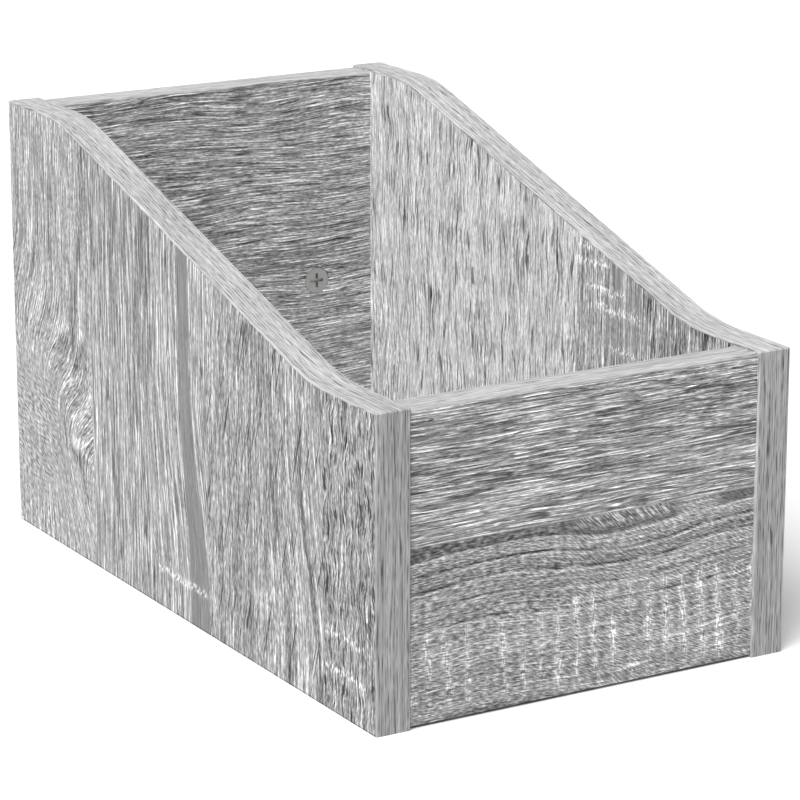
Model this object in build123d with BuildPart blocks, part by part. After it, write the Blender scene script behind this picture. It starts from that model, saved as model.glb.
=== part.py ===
from build123d import *
import math
import os

# Record storage box of decor-faced board. Two tall side panels with an S-curved top edge stand on the
# ground. A low front panel, a high back panel and a bottom panel fit between them. Cam locks in the front
# and back panels pull the sides together, and wooden dowels keep all three panels in line. Thin edge
# bands cover the cut edges that show.
# Sizes are in millimetres. X runs across the box, Y from front to back, and Z up from the ground.
# The origin is on the ground under the middle of the box.

# Overall size
BOX_WIDTH = 225.0
BOX_DEPTH = 380.0
BACK_HEIGHT = 228.0
FRONT_HEIGHT = 151.0

# Top edge of the side panels: level, hollow bend, straight slope, round bend, level
FRONT_LEVEL_RUN = 59.0  # from the front edge to the corner under the hollow bend
BACK_LEVEL_RUN = 59.0  # from the back edge to the corner over the round bend
HOLLOW_BEND_RADIUS = 130.0
ROUND_BEND_RADIUS = 100.0

# Board and edge bands
BOARD_THICKNESS = 18.0
BAND_THICKNESS = 1.0
ARRIS = 0.6  # width taken off the outer edges of a band
ARRIS_LIMIT = 0.9  # largest share of a band's thickness that its arris may take

# Where the panels between the sides lie
FACE_SETBACK = 1.2  # front and back faces behind the ends of the side panels
PANEL_LIFT = 1.4  # lower edges above the ground
TOP_REVEAL = 1.2  # top edges below the level runs of the side panels

# Fasteners at each end of a panel. An upright panel has a cam halfway between two dowels.
LOWER_DOWEL_HEIGHT = 14.0  # above the bottom panel's upper face
UPPER_DOWEL_DROP = 32.0  # below the upright panel's top edge
BOTTOM_DOWEL_INSET = 36.0  # from the bottom panel's front or back end

# Wooden dowels
DOWEL_DIAMETER = 8.0
DOWEL_LENGTH = 30.0
DOWEL_SHORT_END = 11.0  # length in the side panel

# Cam bolts
THREAD_DIAMETER = 5.0
THREAD_LENGTH = 10.5
SHANK_DIAMETER = 7.0  # its shoulder stops on the side panel
SHANK_GAP = 0.5  # between the shank and the cam disc
NECK_DIAMETER = 4.5
HEAD_DIAMETER = 7.0
HEAD_LENGTH = 2.4

# Cam discs. The chamber for the bolt's head is off centre, so that turning the disc draws the bolt in.
CAM_DIAMETER = 14.9
CAM_SETBACK = 34.0  # from the panel's end to the disc's axis
CAM_RECESS = 0.3  # disc's face below the board's face
CAM_CHAMFER = 0.4
CAM_BASE = 0.75  # thickness under the chamber
CAM_WALL = 1.25  # thinnest wall, at the entry hole
CHAMBER_THROW = 0.9  # from the disc's axis to the chamber's centre
HEAD_PLAY = 0.15  # between the bolt's head and the chamber, at each side
NECK_PLAY = 0.25  # between the bolt's neck and its slot, at each side
DRIVE_LENGTH = 8.0
DRIVE_WIDTH = 1.6
DRIVE_DEPTH = 2.2

# Bores
BORE_PLAY = 0.05  # round a dowel, a thread or a cam disc
SHANK_PLAY = 0.5  # round a bolt's shank
BORE_END_GAP = 0.5  # past the end of a dowel or a thread
CAM_BORE_END_GAP = 0.1  # under a cam disc

# Places that follow from the sizes
INNER_WIDTH = BOX_WIDTH - 2 * BOARD_THICKNESS
HALF_BOARD = BOARD_THICKNESS / 2
FRONT_EDGE = -BOX_DEPTH / 2
BACK_EDGE = BOX_DEPTH / 2
FRONT_MIDDLE = FRONT_EDGE + FACE_SETBACK + HALF_BOARD
BACK_MIDDLE = BACK_EDGE - FACE_SETBACK - HALF_BOARD
BOTTOM_FRONT = FRONT_MIDDLE + HALF_BOARD
BOTTOM_BACK = BACK_MIDDLE - HALF_BOARD
BOTTOM_MIDDLE = PANEL_LIFT + HALF_BOARD
FRONT_PANEL_TOP = FRONT_HEIGHT - TOP_REVEAL
BACK_PANEL_TOP = BACK_HEIGHT - TOP_REVEAL

os.makedirs("parts", exist_ok=True)


def save(builder, name):
    builder.part.label = name
    export_step(builder.part, f"parts/{name}.step")


# Seats. Every fastener crosses the joint between a side panel and the end of another panel. Its seat is a
# plane on the joint face: Z points into the panel's end, and X to the face that its cam disc sits in.


def seats_at(side, places, cam_face):
    """Seats at the left (-1) or right (1) end of a panel, for these depths and heights."""
    joint_face = side * INNER_WIDTH / 2
    return [
        Plane(origin=(joint_face, depth, height), x_dir=cam_face, z_dir=(-side, 0, 0))
        for depth, height in places
    ]


def upright_seats(middle, panel_top, cam_face):
    """Seats at both ends of the front or back panel: side, then kind of fastener, to a list."""
    low = PANEL_LIFT + BOARD_THICKNESS + LOWER_DOWEL_HEIGHT
    high = panel_top - UPPER_DOWEL_DROP
    return {
        side: {
            "dowel": seats_at(side, [(middle, low), (middle, high)], cam_face),
            "cam": seats_at(side, [(middle, (low + high) / 2)], cam_face),
        }
        for side in (-1, 1)
    }


def bottom_seats():
    """Seats at both ends of the bottom panel, which has dowels alone."""
    depths = (BOTTOM_FRONT + BOTTOM_DOWEL_INSET, BOTTOM_BACK - BOTTOM_DOWEL_INSET)
    places = [(depth, BOTTOM_MIDDLE) for depth in depths]
    return {side: {"dowel": seats_at(side, places, (0, 0, 1))} for side in (-1, 1)}


SEATS = {
    "front": upright_seats(FRONT_MIDDLE, FRONT_PANEL_TOP, (0, 1, 0)),
    "back": upright_seats(BACK_MIDDLE, BACK_PANEL_TOP, (0, -1, 0)),
    "bottom": bottom_seats(),
}


def both_ends(panel, kind):
    return SEATS[panel][-1][kind] + SEATS[panel][1][kind]


def cam_place(seat):
    """Frame of a cam disc: on the bolt's axis, X towards the joint, Z out of the drilled face."""
    middle = seat.origin + seat.z_dir * CAM_SETBACK
    return Plane(origin=middle, x_dir=-seat.z_dir, z_dir=seat.x_dir)


# Cam disc: Z is its axis, out of the board, and X points at the joint. The wall of the chamber comes
# nearer to the axis from the entry hole, on the far side from the joint, round to the locked end.
CAM_RADIUS = CAM_DIAMETER / 2
CAM_TOP = HALF_BOARD - CAM_RECESS
CHAMBER_RADIUS = CAM_RADIUS - CHAMBER_THROW - CAM_WALL
CHAMBER_HEIGHT = HEAD_DIAMETER + 2 * HEAD_PLAY
SLOT_HEIGHT = NECK_DIAMETER + 2 * NECK_PLAY
CAM_BOTTOM = -CHAMBER_HEIGHT / 2 - CAM_BASE

with BuildPart() as cam_disc:
    with BuildSketch(Plane.XY.offset(CAM_BOTTOM)):
        Circle(CAM_RADIUS)
    extrude(amount=CAM_TOP - CAM_BOTTOM)
    chamfer(edges().filter_by(GeomType.CIRCLE).sort_by(Axis.Z)[-1], length=CAM_CHAMFER)
    with BuildSketch(Plane.XY.offset(-CHAMBER_HEIGHT / 2)):
        with Locations((-CHAMBER_THROW, 0)):
            Circle(CHAMBER_RADIUS)
    extrude(amount=CHAMBER_HEIGHT, mode=Mode.SUBTRACT)
    # The slot for the bolt's neck runs half way round, and ends where the bolt is locked
    with BuildSketch(Plane.XY.offset(-SLOT_HEIGHT / 2)):
        with Locations((0, CAM_RADIUS / 2)):
            Rectangle(CAM_DIAMETER, CAM_RADIUS)
        with Locations((CAM_RADIUS / 2, 0)):
            Rectangle(CAM_RADIUS, SLOT_HEIGHT)
    extrude(amount=SLOT_HEIGHT, mode=Mode.SUBTRACT)
    with Locations(Plane(origin=(-CAM_RADIUS, 0, 0), z_dir=(-1, 0, 0))):
        Hole(radius=CHAMBER_HEIGHT / 2, depth=CAM_RADIUS)
    with BuildSketch(Plane.XY.offset(CAM_TOP)):
        Rectangle(DRIVE_LENGTH, DRIVE_WIDTH)
        Rectangle(DRIVE_WIDTH, DRIVE_LENGTH)
    extrude(amount=-DRIVE_DEPTH, mode=Mode.SUBTRACT)


# Cam bolt: Z is its axis, from the joint into the panel's end. The thread is in the side panel. The
# head is a cone, which the disc wedges against: it lies just clear of the chamber's wall where the
# slot ends.
NECK_START = CAM_SETBACK - CAM_RADIUS - SHANK_GAP
WEDGE_DEPTH = CAM_SETBACK + CHAMBER_THROW - math.sqrt(CHAMBER_RADIUS**2 - (SLOT_HEIGHT / 2) ** 2)
CONE_SLOPE = HEAD_LENGTH / (HEAD_DIAMETER / 2 - NECK_DIAMETER / 2)
HEAD_START = WEDGE_DEPTH + BORE_PLAY - NECK_PLAY * CONE_SLOPE
HEAD_END = HEAD_START + HEAD_LENGTH

with BuildPart() as cam_bolt:
    with BuildSketch(Plane.XZ):
        with BuildLine():
            Polyline(
                (0, -THREAD_LENGTH),
                (THREAD_DIAMETER / 2, -THREAD_LENGTH),
                (THREAD_DIAMETER / 2, 0),
                (SHANK_DIAMETER / 2, 0),
                (SHANK_DIAMETER / 2, NECK_START),
                (NECK_DIAMETER / 2, NECK_START),
                (NECK_DIAMETER / 2, HEAD_START),
                (HEAD_DIAMETER / 2, HEAD_END),
                (0, HEAD_END),
                close=True,
            )
        make_face()
    revolve(axis=Axis.Z)

# Dowel: Z is its axis, from the joint into the panel's end
with BuildPart() as dowel:
    with BuildSketch(Plane.XY.offset(-DOWEL_SHORT_END)):
        Circle(DOWEL_DIAMETER / 2)
    extrude(amount=DOWEL_LENGTH)


def copies(fastener, places):
    """One fastener at each of these planes, as separate solids."""
    with BuildPart() as group:
        with Locations(*places):
            add(fastener.part)
    return group


for panel in SEATS:
    save(copies(dowel, both_ends(panel, "dowel")), f"{panel}_dowels")

for side, side_name in ((-1, "left"), (1, "right")):
    cam_seats = SEATS["front"][side]["cam"] + SEATS["back"][side]["cam"]
    save(copies(cam_bolt, cam_seats), f"{side_name}_cam_bolts")
    save(copies(cam_disc, [cam_place(seat) for seat in cam_seats]), f"{side_name}_cam_discs")


# Bores in the panels. A hole with a depth is as deep on both sides of its plane, so a seat serves the
# panels on either side of the joint.


def bore_dowels(seats, depth):
    with Locations(*seats):
        Hole(radius=DOWEL_DIAMETER / 2 + BORE_PLAY, depth=depth + BORE_END_GAP)


def bore_threads(seats):
    with Locations(*seats):
        Hole(radius=THREAD_DIAMETER / 2 + BORE_PLAY, depth=THREAD_LENGTH + BORE_END_GAP)


def bore_cams(seats):
    """Bores for the bolt's shank, which its head must pass too, and for the cam disc."""
    with Locations(*seats):
        Hole(radius=max(SHANK_DIAMETER, HEAD_DIAMETER) / 2 + SHANK_PLAY, depth=CAM_SETBACK)
    with Locations(*[cam_place(seat).offset(HALF_BOARD) for seat in seats]):
        Hole(radius=CAM_RADIUS + BORE_PLAY, depth=HALF_BOARD - CAM_BOTTOM + CAM_BORE_END_GAP)


# Side panels, less their bands


def top_curve(inset):
    """Top edge of a side panel from front to back, moved down into the board by inset."""
    rise = BACK_HEIGHT - FRONT_HEIGHT
    run = BOX_DEPTH - FRONT_LEVEL_RUN - BACK_LEVEL_RUN
    shift = inset * math.tan(math.atan2(rise, run) / 2)
    return FilletPolyline(
        (FRONT_EDGE, FRONT_HEIGHT - inset),
        (FRONT_EDGE + FRONT_LEVEL_RUN + shift, FRONT_HEIGHT - inset),
        (BACK_EDGE - BACK_LEVEL_RUN + shift, BACK_HEIGHT - inset),
        (BACK_EDGE, BACK_HEIGHT - inset),
        radius=(HOLLOW_BEND_RADIUS + inset, ROUND_BEND_RADIUS - inset),
    )


LEFT_OUTER_FACE = Plane.YZ.offset(-BOX_WIDTH / 2)

with BuildPart() as left_side_panel:
    with BuildSketch(LEFT_OUTER_FACE):
        with BuildLine():
            top_edge = top_curve(BAND_THICKNESS)
            Polyline(top_edge @ 0, (FRONT_EDGE, 0), (BACK_EDGE, 0), top_edge @ 1)
        make_face()
        with Locations((0, BACK_HEIGHT / 2)):
            Rectangle(BOX_DEPTH - 2 * BAND_THICKNESS, BACK_HEIGHT, mode=Mode.INTERSECT)
    extrude(amount=BOARD_THICKNESS)
    for panel in SEATS:
        bore_dowels(SEATS[panel][-1]["dowel"], DOWEL_SHORT_END)
    for panel in ("front", "back"):
        bore_threads(SEATS[panel][-1]["cam"])
save(left_side_panel, "left_side_panel")

with BuildPart() as right_side_panel:
    mirror(left_side_panel.part, about=Plane.YZ)
save(right_side_panel, "right_side_panel")


# Panels between the sides


def upright_panel(name, middle, panel_top):
    """Front or back panel, less the band on its top edge."""
    with BuildPart() as panel:
        with BuildSketch(Plane.XY.offset(PANEL_LIFT)):
            with Locations((0, middle)):
                Rectangle(INNER_WIDTH, BOARD_THICKNESS)
        extrude(amount=panel_top - BAND_THICKNESS - PANEL_LIFT)
        bore_dowels(both_ends(name, "dowel"), DOWEL_LENGTH - DOWEL_SHORT_END)
        bore_cams(both_ends(name, "cam"))
    return panel


save(upright_panel("front", FRONT_MIDDLE, FRONT_PANEL_TOP), "front_panel")
save(upright_panel("back", BACK_MIDDLE, BACK_PANEL_TOP), "back_panel")

with BuildPart() as bottom_panel:
    with BuildSketch(Plane.XY.offset(PANEL_LIFT)):
        Rectangle(INNER_WIDTH, BOTTOM_BACK - BOTTOM_FRONT)
    extrude(amount=BOARD_THICKNESS)
    bore_dowels(both_ends("bottom", "dowel"), DOWEL_LENGTH - DOWEL_SHORT_END)
save(bottom_panel, "bottom_panel")


# Edge bands. The top band of a side panel follows its S-curve, and covers the ends of the front and
# back bands.
BAND_ARRIS = min(ARRIS, ARRIS_LIMIT * BAND_THICKNESS)

with BuildPart() as left_side_top_edge_band:
    with BuildSketch(LEFT_OUTER_FACE):
        with BuildLine():
            outer_line = top_curve(0)
            inner_line = top_curve(BAND_THICKNESS)
            Line(outer_line @ 0, inner_line @ 0)
            Line(outer_line @ 1, inner_line @ 1)
        make_face()
    extrude(amount=BOARD_THICKNESS)
    upper_faces = faces().filter_by(lambda face: face.normal_at(face.center()).Z > 0)
    long_edges = upper_faces.edges().filter_by(Axis.X, reverse=True)
    cross_edges = upper_faces.edges().filter_by(Axis.X).sort_by(Axis.Y)
    corner_edges = edges().filter_by(Axis.Z)
    chamfer(long_edges + [cross_edges[0], cross_edges[-1]] + corner_edges, length=BAND_ARRIS)


def side_end_band(edge, height, outwards):
    """Band on the front or back edge of the left side panel, up to the underside of the top band."""
    with BuildPart() as band:
        with BuildSketch(Plane.XY):
            with Locations((-BOX_WIDTH / 2 + HALF_BOARD, edge - outwards * BAND_THICKNESS / 2)):
                Rectangle(BOARD_THICKNESS, BAND_THICKNESS)
        extrude(amount=height - BAND_THICKNESS)
        outer_edges = edges().filter_by(Axis.Z).group_by(Axis.Y)[-1 if outwards > 0 else 0]
        chamfer(outer_edges, length=BAND_ARRIS)
    return band


side_bands = {
    "top": left_side_top_edge_band,
    "front": side_end_band(FRONT_EDGE, FRONT_HEIGHT, -1),
    "back": side_end_band(BACK_EDGE, BACK_HEIGHT, 1),
}

for place, left_band in side_bands.items():
    save(left_band, f"left_side_{place}_edge_band")
    with BuildPart() as right_band:
        mirror(left_band.part, about=Plane.YZ)
    save(right_band, f"right_side_{place}_edge_band")


def panel_top_band(middle, panel_top):
    """Band on the top edge of the front or back panel."""
    with BuildPart() as band:
        with BuildSketch(Plane.XY.offset(panel_top - BAND_THICKNESS)):
            with Locations((0, middle)):
                Rectangle(INNER_WIDTH, BOARD_THICKNESS)
        extrude(amount=BAND_THICKNESS)
        chamfer(edges().filter_by(Axis.X).group_by(Axis.Z)[-1], length=BAND_ARRIS)
    return band


save(panel_top_band(FRONT_MIDDLE, FRONT_PANEL_TOP), "front_panel_top_edge_band")
save(panel_top_band(BACK_MIDDLE, BACK_PANEL_TOP), "back_panel_top_edge_band")
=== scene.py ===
import math

import bpy
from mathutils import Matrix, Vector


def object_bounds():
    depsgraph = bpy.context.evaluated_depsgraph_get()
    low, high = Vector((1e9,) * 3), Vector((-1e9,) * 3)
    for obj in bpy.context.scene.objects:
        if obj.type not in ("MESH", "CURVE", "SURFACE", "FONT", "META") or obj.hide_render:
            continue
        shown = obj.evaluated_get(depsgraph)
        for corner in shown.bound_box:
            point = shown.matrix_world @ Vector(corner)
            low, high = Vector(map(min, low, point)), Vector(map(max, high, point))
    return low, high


# Looks of the record storage box: grey oak decor on its boards, edge bands with fine straight lines, and
# plain metal and beech fasteners. The print on each face is drawn by nodes in millimetres, in the frame
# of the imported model: X across the box, Y from front to back, Z up.

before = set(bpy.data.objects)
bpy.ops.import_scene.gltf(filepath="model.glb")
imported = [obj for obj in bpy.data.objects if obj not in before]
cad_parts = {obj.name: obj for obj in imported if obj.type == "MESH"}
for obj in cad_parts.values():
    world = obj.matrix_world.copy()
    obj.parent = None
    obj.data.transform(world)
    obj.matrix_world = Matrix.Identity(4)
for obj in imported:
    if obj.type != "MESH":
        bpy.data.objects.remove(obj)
cad_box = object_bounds()

MM = 0.001

# Sizes that the print follows, in millimetres
HALF_WIDTH = cad_box[1][0] / MM
HALF_DEPTH = cad_box[1][1] / MM
FLOOR_HEIGHT = 19.4
BOARD = 18.0


# Numbers that vary over a surface


class Field:
    """A number that varies over a surface: a node's output, with sums written as in algebra."""

    def __init__(self, tree, socket):
        self.tree = tree
        self.socket = socket

    def math(self, operation, *others):
        node = self.tree.nodes.new("ShaderNodeMath")
        node.operation = operation
        for socket, value in zip(node.inputs, (self, *others)):
            feed(socket, value)
        return Field(self.tree, node.outputs[0])

    def __add__(self, other):
        return self.math("ADD", other)

    def __sub__(self, other):
        return self.math("SUBTRACT", other)

    def __mul__(self, other):
        return self.math("MULTIPLY", other)

    def __truediv__(self, other):
        return self.math("DIVIDE", other)

    def __rsub__(self, other):
        return self * -1.0 + other

    __radd__ = __add__
    __rmul__ = __mul__


def feed(socket, value):
    if isinstance(value, Field):
        value.tree.links.new(value.socket, socket)
    else:
        socket.default_value = value


def rise(field, low, high):
    """0 up to low and 1 from high, with a smooth rise between. It falls if high is below low."""
    node = field.tree.nodes.new("ShaderNodeMapRange")
    node.interpolation_type = "SMOOTHSTEP"
    for name, value in (("Value", field), ("From Min", low), ("From Max", high)):
        feed(node.inputs[name], value)
    return Field(field.tree, node.outputs["Result"])


def between(field, low, high, soft):
    """1 between low and high and 0 outside, with edges this soft."""
    return rise(field, low - soft, low + soft) * rise(field, high + soft, high - soft)


def bell(field, centre, width):
    """1 at the centre, falling smoothly to 0 over about twice the width."""
    distance = (field - centre) / width
    return (distance * distance * -1.0).math("EXPONENT")


def blend(first, second, share):
    """The first where share is 0, and the second where it is 1."""
    return first * (1.0 - share) + second * share


def noise(u, v, size, seed, detail=0.0, roughness=0.5):
    """Smooth noise about zero. Size is about half a wave along u and along v."""
    point = u.tree.nodes.new("ShaderNodeCombineXYZ")
    for socket, value in zip(point.inputs, (u / size[0], v / size[1], seed)):
        feed(socket, value)
    texture = u.tree.nodes.new("ShaderNodeTexNoise")
    texture.inputs["Scale"].default_value = 1.0
    texture.inputs["Detail"].default_value = detail
    texture.inputs["Roughness"].default_value = roughness
    u.tree.links.new(point.outputs[0], texture.inputs["Vector"])
    return Field(u.tree, texture.outputs["Fac"]) - 0.5


DISPLAY_GAMMA = 2.2


class Surface:
    """A new material, with the place in millimetres as fields."""

    def __init__(self, name):
        self.material = bpy.data.materials.new(name)
        self.material.use_nodes = True
        self.tree = self.material.node_tree
        self.shader = self.tree.nodes["Principled BSDF"]
        place = self.tree.nodes.new("ShaderNodeTexCoord").outputs["Object"]
        axes = self.tree.nodes.new("ShaderNodeSeparateXYZ")
        self.tree.links.new(place, axes.inputs[0])
        self.x, self.y, self.z = (Field(self.tree, axis) * (1.0 / MM) for axis in axes.outputs)

    def paint(self, tone, tint=(1.0, 1.0, 1.0)):
        """Base colour from a tone as the eye reads it, 0 black and 1 white."""
        light = tone.math("MAXIMUM", 0.0).math("POWER", DISPLAY_GAMMA)
        colour = self.tree.nodes.new("ShaderNodeCombineColor")
        for socket, share in zip(colour.inputs, tint):
            feed(socket, light * share)
        self.tree.links.new(colour.outputs[0], self.shader.inputs["Base Color"])

    def roughen(self, roughness):
        feed(self.shader.inputs["Roughness"], roughness)

    def emboss(self, height, depth_mm):
        """Relief from a height field of about -0.5 to 0.5, this deep over its whole range."""
        bump = self.tree.nodes.new("ShaderNodeBump")
        bump.inputs["Distance"].default_value = depth_mm * MM
        feed(bump.inputs["Height"], height)
        self.tree.links.new(bump.outputs[0], self.shader.inputs["Normal"])


# The print that all decor faces share. A face first says how its grain runs, as a Figure, and is then
# drawn. Every mark is multiplied by its strength, as a share of the tone from black to white.

BOARD_TONE = 0.665
BOARD_ROUGHNESS = 0.52
ROUGHNESS_PER_TONE = -0.25
PORE_DEPTH_MM = 0.12
PRINT_CONTRAST = 1.1

# Strengths of the grain's dashes and streaks, first in whole grain and then in broken grain
DASHES = (0.6, 1.25)
STREAKS = (1.2, 0.4)
OPEN_PORES = (1.0, 0.6)

# Strengths of the grain's finer and broader parts, with its painted highlights: a light line beside each
# line of pores, and glints beside the splits
HAIRLINES = 0.32
PORE_HIGHLIGHT = 0.8
BROAD_WAVES = 0.28
GLINTS = 0.16
SPLITS = 0.26

# Lines of pores in each pitch of the grain, and how far its layers push them aside
PORES_PER_PITCH = 0.5
PORE_DRIFT = 2.6

# Places in the noise at which checks and cracks open, from their edge to their middle
CHECK_EDGE = (0.18, 0.24)


class Figure:
    """How the grain runs on a face: places in mm across and along it, and how far it breaks up into dashes.

    The dashes may lie skew to the grain. Marks are the face's own light and dark places, and calm, 0 to 1,
    is how far they drown the grain.
    """

    FIELDS = ("across", "along", "seed", "broken", "skew", "calm", "marks")

    def __init__(self, across, along, seed, broken=0.0, skew=0.0, calm=0.0, marks=0.0):
        self.across, self.along, self.seed = across, along, seed
        self.broken, self.skew, self.calm, self.marks = broken, skew, calm, marks

    def merged(self, other, share):
        """This figure where share is 0, and the other where it is 1."""
        return Figure(*(blend(getattr(self, name), getattr(other, name), share) for name in self.FIELDS))


def grain(figure, pitch, length):
    """Tone of the grain, about zero. Pitch is half the distance of two lines, and length a long streak's."""
    across, along, seed = figure.across / pitch, figure.along, figure.seed
    skewed = across + figure.skew / pitch
    dashes = noise(skewed, along, (1.0 / 1.4, 3.6), seed, detail=1.0, roughness=0.7)
    streaks = noise(across, along, (1.0 / 1.5, length), seed + 7.3, detail=1.0, roughness=0.6)
    layers = noise(across, along, (3.2, length * 3.0), seed + 19.7, detail=1.0)
    broad = noise(across, along, (8.0, 110.0), seed + 13.1, detail=1.0)

    pore = (across * PORES_PER_PITCH + layers * PORE_DRIFT).math("FRACT") - 0.5
    # Each line of pores is a dark printed line with a painted highlight beside it, where light would catch
    # the embossed pore
    pores_and_highlights = bell(pore, centre=0.20, width=0.11) * PORE_HIGHLIGHT - bell(pore, centre=-0.05, width=0.13)
    open_pores = rise(dashes * 0.35 + streaks, low=-0.08, high=0.10) * blend(*OPEN_PORES, figure.broken)
    # Splits are dark printed cracks, and the glints beside them are painted highlights
    splits = bell(layers, centre=-0.05, width=0.022) * (dashes * 2.0 + 0.8)
    glints = bell(layers, centre=-0.012, width=0.022) * (streaks * 2.0 + 0.8)

    fibres = (
        dashes * blend(*DASHES, figure.broken)
        + streaks * blend(*STREAKS, figure.broken)
        + pores_and_highlights * open_pores * HAIRLINES
        + broad * BROAD_WAVES
        + (glints * GLINTS - splits * SPLITS) * (1.0 - figure.broken)
    )
    return fibres * (1.0 - figure.calm) + figure.marks


def decor(surface, figure, pitch=1.0, length=17.0):
    """Finish of a decor face: printed tone, dull gloss and shallow pores."""
    tone = grain(figure, pitch, length) * PRINT_CONTRAST
    surface.paint(tone + BOARD_TONE)
    surface.roughen(tone * ROUGHNESS_PER_TONE + BOARD_ROUGHNESS)
    surface.emboss(tone, PORE_DEPTH_MM)
    return surface.material


def slits(across, along, seed, length, width):
    """Thin checks in the grain, of this length and width: 1 in a check and 0 beside it."""
    return rise(noise(across, along, (width, length), seed), *CHECK_EDGE)


def at_face(place, face):
    """1 on a board's half at this face and 0 on the other half, where place grows towards the face."""
    middle = face - BOARD / 2
    return rise(place, middle - 0.1, middle + 0.1)


# Side panels: the grain runs upright, in planks that lie one behind the other

# Where each plank ends, from the front, and what the seed gains behind that edge
PLANK_EDGES = (-142.0, -29.0, 97.0)
PLANK_SEEDS = (8.3, 5.9, 3.7)
INNER_PLANK_EDGES = (-92.0, -36.0)
INNER_PLANK_SEEDS = (4.1, 6.7)
PLANK_EDGE_SOFTNESS = 0.4

# Lines of saw marks: the height, the front end and the back end of each
OUTER_SAW_LINES = ((19.5, -28.0, 25.0), (21.0, -180.0, -143.0), (38.0, -180.0, -143.0))
INNER_SAW_LINES = (
    (173.0, -52.0, -36.0),
    (165.0, -64.0, -34.0),
    (153.0, -78.0, -45.0),
    (144.0, -92.0, -54.0),
    (125.0, -88.0, -66.0),
)
SAW_LINE_WIDTH = 2.2
LIGHT_LINE_WIDTH = 0.9

# The back plank's dark flame: heights of its ends, its place at the top, and how far back it drifts
FLAME_TOP = 210.0
FLAME_FOOT = 105.0
FLAME_START = 103.5
FLAME_DRIFT = 15.0

# The second plank's smooth band: heights between which it swings, its edges at the top, and how far
# each edge has moved at the foot
SWING_TOP = 125.0
SWING_FOOT = 10.0
SMOOTH_FRONT, SMOOTH_FRONT_SWING = -11.5, -18.5
SMOOTH_BACK, SMOOTH_BACK_SWING = -0.5, -10.0

# Strengths of marks on the side panels
OUTER_SAW = 0.42
INNER_SAW = 0.38
OUTER_CRACKS = 0.32
INNER_CRACKS = 0.28
FLAME = 0.13
ARCS = 0.22
SMOOTH_BAND = 0.12
DARK_PATCH = 0.06
DARK_STREAK = 0.19
FOOT_SHADE = 0.2

# How far scales and the smooth band drown the grain
SCALES_CALM = 0.7
SMOOTH_BAND_CALM = 0.65


def saw_lines(y, z, lines, seed):
    """Bright broken lines of saw marks across the grain."""
    wobble = noise(y, 0.0, (9.0, 1.0), seed + 51.0) * 3.0
    breaks = rise(noise(y, z, (0.9, 2.5), seed + 53.0), low=-0.05, high=0.15)
    rows = (
        bell(z + wobble, height, SAW_LINE_WIDTH) * between(y, front_end, back_end, soft=2.0)
        for height, front_end, back_end in lines
    )
    return sum(rows) * breaks


def light_lines(y, guide, gaps):
    """Light lines that follow a guide line, at these distances behind it."""
    return sum(bell(y, guide + gap, LIGHT_LINE_WIDTH) for gap in gaps)


def back_plank(y, z, bowed, seed):
    """Calm and marks of the back plank: a dark flame over a knot, arcs round it and scales behind it."""
    strokes = noise(y, z, (2.4, 30.0), seed + 29.0)
    flame_place = rise(z, low=FLAME_TOP, high=FLAME_FOOT) * FLAME_DRIFT + FLAME_START
    flame = bell(y, flame_place, width=4.5) * rise(z, low=FLAME_FOOT - 15.0, high=FLAME_FOOT + 15.0)
    rings = noise(bowed, z, (5.5, 60.0), seed + 31.0)
    dark_rings = bell(rings, centre=0.06, width=0.04) * 0.8
    arcs = (bell(rings, centre=0.0, width=0.03) - dark_rings) * rise(z, low=135.0, high=100.0)
    marks = arcs * (strokes * 0.5 + ARCS) - flame * (strokes * 0.6 + FLAME) + 0.015

    scaly = rise(y, low=122.0, high=150.0) * rise(z, low=98.0, high=76.0) * rise(z, low=10.0, high=40.0)
    scales = noise(z - y * 0.35, y, (1.25, 3.5), seed + 33.0)
    calm = scaly * SCALES_CALM
    return calm, marks * (1.0 - calm) + scales * calm


def second_plank(y, z):
    """Calm and marks of the second plank: a smooth dark band that swings forwards, and lines behind it."""
    swing = rise(z, low=SWING_TOP, high=SWING_FOOT)
    back_edge = swing * SMOOTH_BACK_SWING + SMOOTH_BACK
    front_edge = swing * SMOOTH_FRONT_SWING + SMOOTH_FRONT
    band = between(y, front_edge, back_edge, soft=0.8)
    dark_patch = between(y, 30.0, 45.0, soft=4.0) * rise(z, low=90.0, high=120.0)
    lines = light_lines(y, back_edge, gaps=(2.5, 8.0, 13.5, 20.0))
    marks = lines * 0.13 - band * SMOOTH_BAND - dark_patch * DARK_PATCH - 0.01
    return band * SMOOTH_BAND_CALM + 0.12, marks


def third_plank_marks(y, z, seed):
    """Slanting checks, and a dark streak near the front that light lines follow."""
    streak_place = rise(z, low=112.0, high=15.0) * -19.0 - 120.0
    streak = bell(y, streak_place, width=2.2) * rise(z, low=150.0, high=105.0)
    second_streak = bell(y, streak_place + 28.0, width=2.5) * 0.4
    lines = light_lines(y, streak_place, gaps=(-4.0, 5.0, 12.0, 19.0))
    checks = slits(y + z * 0.30, z, seed + 41.0, length=45.0, width=1.3)
    return lines * 0.12 - checks * OUTER_CRACKS - (streak + second_streak) * DARK_STREAK - 0.01


def front_plank_marks(y, z, waver, seed):
    """Long and short cracks that waver."""
    long_cracks = slits(y + waver * 5.0, z, seed + 47.0, length=24.0, width=1.4) * 1.4
    short_cracks = rise(noise(y + waver * 3.0, z, (1.1, 9.0), seed + 49.0), low=0.12, high=0.17)
    return (long_cracks + short_cracks) * -OUTER_CRACKS - 0.02


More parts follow.
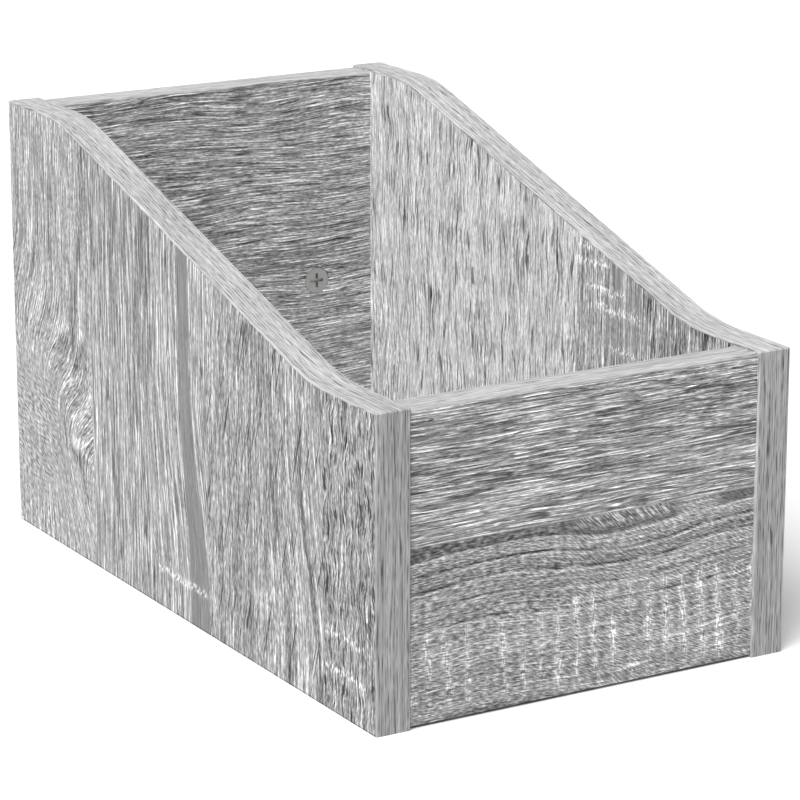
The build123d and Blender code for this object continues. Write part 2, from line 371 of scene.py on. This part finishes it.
def side_outer_figure(y, z, saw, seed):
    """Print on the outer face of a side panel: four planks, each with a figure of its own."""
    behind = [rise(y, edge - PLANK_EDGE_SOFTNESS, edge + PLANK_EDGE_SOFTNESS) for edge in PLANK_EDGES]
    back = behind[2]
    second = behind[1] - behind[2]
    third = behind[0] - behind[1]
    front = 1.0 - behind[0]

    # How far each plank's grain lies off the upright: round the knot, along the band, forwards, and wavering
    knot_height = (y - PLANK_EDGES[2]) * 0.8 + 40.0
    bow = bell(z, knot_height, width=38.0) * (rise(y, low=120.0, high=185.0) * 12.0 - 28.0)
    drift = rise(z, low=125.0, high=8.0) * rise(y, low=70.0, high=-10.0) * 14.0
    lean = rise(z, low=150.0, high=10.0) * rise(y, low=-75.0, high=-130.0) * 14.0
    waver = noise(y, z, (8.0, 14.0), seed + 3.0)

    back_calm, back_marks = back_plank(y, z, y + bow, seed)
    second_calm, second_marks = second_plank(y, z)
    return Figure(
        across=y + back * bow + second * drift + third * lean + front * waver * 6.0,
        along=z,
        seed=sum(share * step for share, step in zip(behind, PLANK_SEEDS)) + seed,
        broken=back * (rise(z, low=130.0, high=95.0) * 0.5 + 0.3) + third * 0.45 + front * 0.5,
        skew=front * rise(z, low=60.0, high=0.0) * z * 0.3,
        calm=back * back_calm + second * second_calm + third * 0.05,
        marks=back * back_marks
        + second * second_marks
        + third * third_plank_marks(y, z, seed)
        + front * front_plank_marks(y, z, waver, seed)
        + saw * OUTER_SAW
        # Painted shade: a thin dark line along the foot of the outer face
        - rise(z, low=1.0, high=0.3) * FOOT_SHADE,
    )


def side_inner_figure(y, z, saw, seed):
    """Print on the inner face of a side panel: a calm plank between two with cracks."""
    behind = [rise(y, edge - PLANK_EDGE_SOFTNESS, edge + PLANK_EDGE_SOFTNESS) for edge in INNER_PLANK_EDGES]
    back = behind[1]
    beside_middle = 1.0 - (behind[0] - behind[1])
    dull_strip = between(y, INNER_PLANK_EDGES[0], -62.0, soft=3.0)

    bow = noise(y, z, (30.0, 60.0), seed + 5.0) * 14.0 * back
    waver = noise(y, z, (8.0, 16.0), seed + 60.0) * 5.0
    long_cracks = slits(y + waver, z, seed + 61.0, length=45.0, width=1.4)
    short_cracks = rise(noise(y + waver, z, (1.2, 18.0), seed + 63.0), low=0.12, high=0.18)
    lines = light_lines(y, -78.0, gaps=(0.0, 12.0, 18.0))
    return Figure(
        across=y + bow,
        along=z,
        seed=sum(share * step for share, step in zip(behind, INNER_PLANK_SEEDS)) + seed,
        broken=0.35,
        calm=dull_strip * 0.35 + back * 0.3,
        marks=saw * INNER_SAW
        + lines * 0.16
        - (long_cracks + short_cracks) * beside_middle * INNER_CRACKS
        + back * 0.14
        - dull_strip * 0.05
        + 0.02,
    )


def side_panel_finish(name, outwards, seed):
    """Decor of a side panel. Outwards is -1 on the left panel and 1 on the right one."""
    surface = Surface(name)
    y, z = surface.y, surface.z
    inner = side_inner_figure(y, z, saw_lines(y, z, INNER_SAW_LINES, seed), seed + 20.0)
    outer = side_outer_figure(y, z, saw_lines(y, z, OUTER_SAW_LINES, seed), seed)
    figure = inner.merged(outer, at_face(surface.x * outwards, HALF_WIDTH))
    return decor(surface, figure, pitch=1.1, length=22.0)


# Front and back panels: the grain runs across the box

# Heights on the front panel's face: its dark seam, the dark lines between the bent layers under it, each
# with its strength, and the light lines near the foot
SEAM_TOP = 85.0
SEAM_FOOT = 78.5
LAYER_LINES = ((71.3, 0.26), (63.8, 0.28), (54.5, 0.14), (44.6, 0.22))
FOOT_LINES = (41.0, 33.0, 28.0, 21.0, 16.0, 10.0)
LAYER_LINE_WIDTH = 0.6

# The layers' waves, which repeat at this distance, with a crest at this place
WAVE_LENGTH = 150.0
WAVE_CREST = -50.0

# Bars of saw marks: distance, lean, and how far the noise moves from one bar to the next. They reach
# this high at the left, and this much higher at the right.
BAR_PITCH = 10.0
BAR_LEAN = 0.06
BAR_VARIETY = 0.77
BAR_TOP = 46.0
BAR_STEP_UP = 5.0

# Strengths of marks on the front panel
SEAM_SHADE = 0.21
SEAM_HATCH = 0.36
SEAM_MOTTLE = 0.6
SEAM_UPPER_LINE = 0.18
SEAM_LOWER_LINE = 0.12
LIGHT_STREAKS = 0.11
DARK_STREAKS = 0.12
FLECKS = 0.06
KNOTTY_FLECKS = 0.10
LEFT_BARS = 0.28
RIGHT_BARS = 0.40


def saw_bars(x, z, seed):
    """Upright bars of saw marks over the lower third of a panel."""
    bars = (x + (z - 35.0) * BAR_LEAN + noise(x, z, (9.0, 30.0), seed) * 3.0) / BAR_PITCH
    offset = bars.math("FRACT") - 0.5
    top = rise(x, low=-20.0, high=0.0) * BAR_STEP_UP + BAR_TOP
    reach = rise(z, top + 2.0, top - 5.0) * rise(z, low=0.0, high=14.0)
    strength = noise(bars.math("FLOOR"), z, (1.0 / BAR_VARIETY, 25.0), seed + 5.0) * 2.6 + 0.75
    upright_ticks = rise(noise(x, z, (1.0 / 1.05, 4.0), seed + 7.0), low=-0.10, high=0.16)
    level_gaps = rise(noise(x, z, (1.0, 1.2), seed + 8.0), low=-0.25, high=0.05)
    strokes = bell(offset, centre=0.0, width=0.20) * upright_ticks * level_gaps
    haze = bell(offset, centre=0.0, width=0.3) * 0.2
    return (strokes + haze) * reach * strength.math("MAXIMUM", 0.0)


def front_streaks(x, z, seed):
    """Light and dark streaks of the upper half, long at the left and short and knotty at the right."""
    knotty = rise(x, low=30.0, high=70.0) * rise(z, low=110.0, high=122.0)
    length = 34.0 - knotty * 22.0
    light = rise(noise(z, x, (0.85, length), seed + 21.0), low=0.10, high=0.20)
    dark = rise(noise(z, x, (1.0, length), seed + 23.0), low=0.13, high=0.22)
    flecks = rise(noise(z, x, (0.7, 5.0), seed + 25.0), low=0.12, high=0.20)
    return light * LIGHT_STREAKS - dark * DARK_STREAKS + flecks * (knotty * KNOTTY_FLECKS + FLECKS)


def seam_marks(x, z, level, seam, seed):
    """The dark seam, hatched in the middle and mottled at the left, with a light line along each edge."""
    hatched = between(x, -4.0, 50.0, soft=6.0) * rise(level, SEAM_FOOT + 1.0, SEAM_FOOT + 4.0)
    hatch = rise(noise(x + z, z, (0.85, 5.0), seed + 8.0), low=-0.05, high=0.12) * hatched
    mottle = noise(x, z, (3.0, 1.5), seed + 17.0) * rise(x, low=0.0, high=-20.0)
    upper_line = bell(z, SEAM_TOP + 0.8, width=0.5) * SEAM_UPPER_LINE
    lower_line = bell(level, SEAM_FOOT - 0.7, LAYER_LINE_WIDTH) * SEAM_LOWER_LINE
    return (hatch * SEAM_HATCH + mottle * SEAM_MOTTLE - SEAM_SHADE) * seam + upper_line + lower_line


def layer_marks(x, z, level, seed):
    """Dark lines with a light line under them between the bent layers, and light lines near the foot."""
    breaks = noise(x, z, (13.0, 7.0), seed + 15.0) * 3.0
    marks = between(level, 64.0, 68.0, soft=1.0) * -0.06
    for height, strength in LAYER_LINES:
        dark = bell(level, height, LAYER_LINE_WIDTH) * (breaks + 0.8)
        light = bell(level, height - 1.3, LAYER_LINE_WIDTH) * (0.7 - breaks * 0.5)
        marks = marks + (light * 0.6 - dark) * strength
    near_foot = rise(z, low=50.0, high=44.0)
    for height in FOOT_LINES:
        marks = marks + bell(level, height, LAYER_LINE_WIDTH) * (breaks * 0.12 + 0.06) * near_foot
    return marks


def front_shades(x, z):
    """Broad light and dark areas on the front panel's face."""
    dark_left = bell(z, centre=119.0, width=6.0) * rise(x, low=10.0, high=-40.0)
    dark_middle = bell(z, centre=108.0, width=5.0) * between(x, -30.0, 40.0, soft=20.0)
    light_row = bell(z, centre=100.0, width=4.0)
    behind_bars = between(z, 22.0, 46.0, soft=6.0) - rise(z, low=50.0, high=40.0)
    return light_row * 0.04 + behind_bars * 0.03 - dark_left * 0.07 - dark_middle * 0.05


def front_outer_figure(x, z, seed):
    """Print on the front panel's face: straight grain, a dark seam, then bent layers and saw marks."""
    wave = ((x - WAVE_CREST) * (2.0 * math.pi / WAVE_LENGTH)).math("COSINE")
    swing = rise(z, low=92.0, high=74.0) * 3.0 - rise(z, low=55.0, high=40.0) * 1.5
    layered = rise(z, SEAM_TOP + 1.0, SEAM_TOP)
    level = z - wave * swing + noise(x, z, (40.0, 12.0), seed) * (layered + 1.0) * 1.5

    faded = between(x, 52.0, 74.0, soft=5.0)
    seam = rise(level, SEAM_FOOT - 0.4, SEAM_FOOT + 0.4) * layered * (1.0 - faded)
    slant = (x + 10.0).math("MAXIMUM", 0.0) * 0.4 + x * 0.1
    return Figure(
        across=level,
        along=x,
        seed=layered * 31.0 + seed,
        broken=layered,
        skew=slant * layered,
        calm=seam * 0.4,
        marks=seam_marks(x, z, level, seam, seed)
        + layer_marks(x, z, level, seed)
        + front_shades(x, z)
        + front_streaks(x, z, seed) * (1.0 - layered)
        + saw_bars(x, z, seed + 11.0) * blend(LEFT_BARS, RIGHT_BARS, rise(x, low=-30.0, high=0.0)),
    )


def plain_figure(across, along, seed):
    """Print on a face that the photographed view doesn't show: straight grain with a few checks."""
    bow = noise(across, along, (40.0, 90.0), seed) * 12.0
    checks = slits(across + bow, along, seed + 2.0, length=30.0, width=1.7)
    return Figure(across + bow, along, seed + 1.0, broken=0.3, marks=checks * -0.2)


def front_panel_finish():
    surface = Surface("decor_front_panel")
    inner = plain_figure(surface.z, surface.x, seed=310.0)
    outer = front_outer_figure(surface.x, surface.z, seed=300.0)
    return decor(surface, inner.merged(outer, at_face(surface.y * -1.0, HALF_DEPTH)))


def back_panel_finish():
    surface = Surface("decor_back_panel")
    outer = at_face(surface.y, HALF_DEPTH)
    return decor(surface, plain_figure(surface.z, surface.x, seed=outer * 20.0 + 410.0))


def bottom_panel_finish():
    surface = Surface("decor_bottom_panel")
    upper = at_face(surface.z, FLOOR_HEIGHT)
    return decor(surface, plain_figure(surface.x, surface.y, seed=upper * 20.0 + 510.0))


# Edge bands: fine lines along their length, which waver, fade and come back

BAND_TONE = 0.70
BAND_ROUGHNESS = 0.5
BAND_RELIEF_MM = 0.08
BAND_LINE_PITCH = 1.7
BAND_LINES = 0.36
BAND_STREAKS = 0.46
BAND_STRIPES = 0.24


def band_finish(name, runs_across_box):
    surface = Surface(name)
    if runs_across_box:
        across, along = surface.y, surface.x
    else:
        across, along = surface.x, surface.y + surface.z
    waver = noise(across, along, (2.5, 60.0), seed=2.0) * 3.0
    offset = ((across + waver) / BAND_LINE_PITCH).math("FRACT") - 0.5
    strength = rise(noise(across, along, (1.2, 9.0), seed=5.0, detail=1.0), low=-0.20, high=0.20)
    lines = bell(offset, centre=0.0, width=0.15) * strength
    streaks = noise(across, along, (1.0 / 2.2, 10.0), seed=9.0, detail=1.0)
    stripes = noise(across, along, (2.0, 90.0), seed=15.0)
    tone = streaks * BAND_STREAKS + stripes * BAND_STRIPES - lines * BAND_LINES
    surface.paint(tone + BAND_TONE)
    surface.roughen(BAND_ROUGHNESS - tone * 0.3)
    surface.emboss(tone, BAND_RELIEF_MM)
    return surface.material


# Metal and beech

METAL_SPECKLE = 0.625
BEECH_TONE = 0.84
BEECH_TINT = (0.95, 0.72, 0.47)
BEECH_FIBRE_WIDTH = 1.2
BEECH_FIBRE_LENGTH = 12.0


def metal_finish(name, colour, roughness):
    surface = Surface(name)
    size = (METAL_SPECKLE, METAL_SPECKLE)
    speckle = noise(surface.x, surface.y, size, seed=surface.z / METAL_SPECKLE, detail=3.0)
    surface.paint(speckle * 0.12 + 1.0, tint=colour)
    surface.shader.inputs["Metallic"].default_value = 1.0
    surface.roughen(speckle * 0.3 + roughness)
    surface.emboss(speckle, depth_mm=0.05)
    return surface.material


def beech_finish():
    surface = Surface("beech")
    size = (BEECH_FIBRE_WIDTH, BEECH_FIBRE_LENGTH)
    fibres = noise(surface.y, surface.x, size, seed=surface.z / BEECH_FIBRE_WIDTH, detail=2.0) * 0.4
    surface.paint(fibres + BEECH_TONE, BEECH_TINT)
    surface.roughen(0.65)
    surface.emboss(fibres, depth_mm=0.1)
    return surface.material


finishes = {
    "left_side_panel": side_panel_finish("decor_left_side_panel", outwards=-1.0, seed=50.0),
    "right_side_panel": side_panel_finish("decor_right_side_panel", outwards=1.0, seed=150.0),
    "front_panel": front_panel_finish(),
    "back_panel": back_panel_finish(),
    "bottom_panel": bottom_panel_finish(),
}
side_band = band_finish("side_edge_band", runs_across_box=False)
for side in ("left", "right"):
    for place in ("top", "front", "back"):
        finishes[f"{side}_side_{place}_edge_band"] = side_band
panel_band = band_finish("panel_edge_band", runs_across_box=True)
for panel in ("front", "back"):
    finishes[f"{panel}_panel_top_edge_band"] = panel_band
zinc = metal_finish("cast_zinc", colour=(0.56, 0.56, 0.55), roughness=0.42)
steel = metal_finish("plated_steel", colour=(0.62, 0.62, 0.60), roughness=0.28)
for side in ("left", "right"):
    finishes[f"{side}_cam_discs"] = zinc
    finishes[f"{side}_cam_bolts"] = steel
beech = beech_finish()
for panel in ("front", "back", "bottom"):
    finishes[f"{panel}_dowels"] = beech

for node, finish in finishes.items():
    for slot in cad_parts[node].material_slots:
        slot.material = finish


# Floor and light


def seen(tree):
    """1 for what the camera, gloss and glass see, and 0 for what only gives light."""
    rays = tree.nodes.new("ShaderNodeLightPath")
    field = Field(tree, rays.outputs["Is Camera Ray"])
    for name in ("Is Glossy Ray", "Is Transmission Ray"):
        field = field.math("MAXIMUM", Field(tree, rays.outputs[name]))
    return field


def floor(size, colour, bounce):
    """A pale floor of this size and colour, which sends only this share of its light back to the object."""
    bpy.ops.mesh.primitive_plane_add(size=size, location=(0.0, 0.0, 0.0))
    plane = bpy.context.object
    plane.name = "floor"
    material = bpy.data.materials.new("floor")
    material.use_nodes = True
    tree = material.node_tree
    shader = tree.nodes["Principled BSDF"]
    shade = tree.nodes.new("ShaderNodeCombineColor")
    for socket in shade.inputs:
        feed(socket, seen(tree) * (colour - bounce) + bounce)
    tree.links.new(shade.outputs[0], shader.inputs["Base Color"])
    shader.inputs["Roughness"].default_value = 1.0
    shader.inputs["Specular IOR Level"].default_value = 0.0
    plane.data.materials.append(material)


def sky(strength):
    """Even light all round, which the camera, gloss and glass see as white."""
    world = bpy.data.worlds.new("sky")
    bpy.context.scene.world = world
    world.use_nodes = True
    tree = world.node_tree
    background = tree.nodes["Background"]
    background.inputs["Color"].default_value = (1.0, 1.0, 1.0, 1.0)
    feed(background.inputs["Strength"], seen(tree) * (1.0 - strength) + strength)


def lamp(azimuth_degrees, elevation_degrees, strength, softness_degrees):
    """A far soft lamp. At azimuth 0 it stands in front of the box, and at 90 to the right of it."""
    light = bpy.data.lights.new("lamp", "SUN")
    light.energy = strength
    light.angle = math.radians(softness_degrees)
    holder = bpy.data.objects.new("lamp", light)
    bpy.context.scene.collection.objects.link(holder)
    holder.rotation_euler = (math.radians(90.0 - elevation_degrees), 0.0, math.radians(azimuth_degrees))


floor(size=12.0, colour=0.92, bounce=0.3)
sky(strength=0.42)
lamp(azimuth_degrees=-61.0, elevation_degrees=51.0, strength=3.4, softness_degrees=40.0)
lamp(azimuth_degrees=119.0, elevation_degrees=15.0, strength=0.7, softness_degrees=30.0)


# Camera, at the photograph's viewing angle

CAMERA_PLACE_MM = (-851.7, -1458.9, 567.7)
CAMERA_TURN_DEGREES = 30.635
CAMERA_TILT_DEGREES = 15.613
FOCAL_PIXELS = 3495.1
IMAGE_PIXELS = 800
SENSOR_MM = 36.0

lens = bpy.data.cameras.new("camera")
lens.sensor_width = SENSOR_MM
lens.lens = FOCAL_PIXELS / IMAGE_PIXELS * SENSOR_MM
camera = bpy.data.objects.new("camera", lens)
bpy.context.scene.collection.objects.link(camera)
camera.location = [value * MM for value in CAMERA_PLACE_MM]
camera.rotation_euler = (math.radians(90.0 - CAMERA_TILT_DEGREES), 0.0, -math.radians(CAMERA_TURN_DEGREES))
bpy.context.scene.camera = camera
bpy.context.scene.view_settings.view_transform = "Standard"
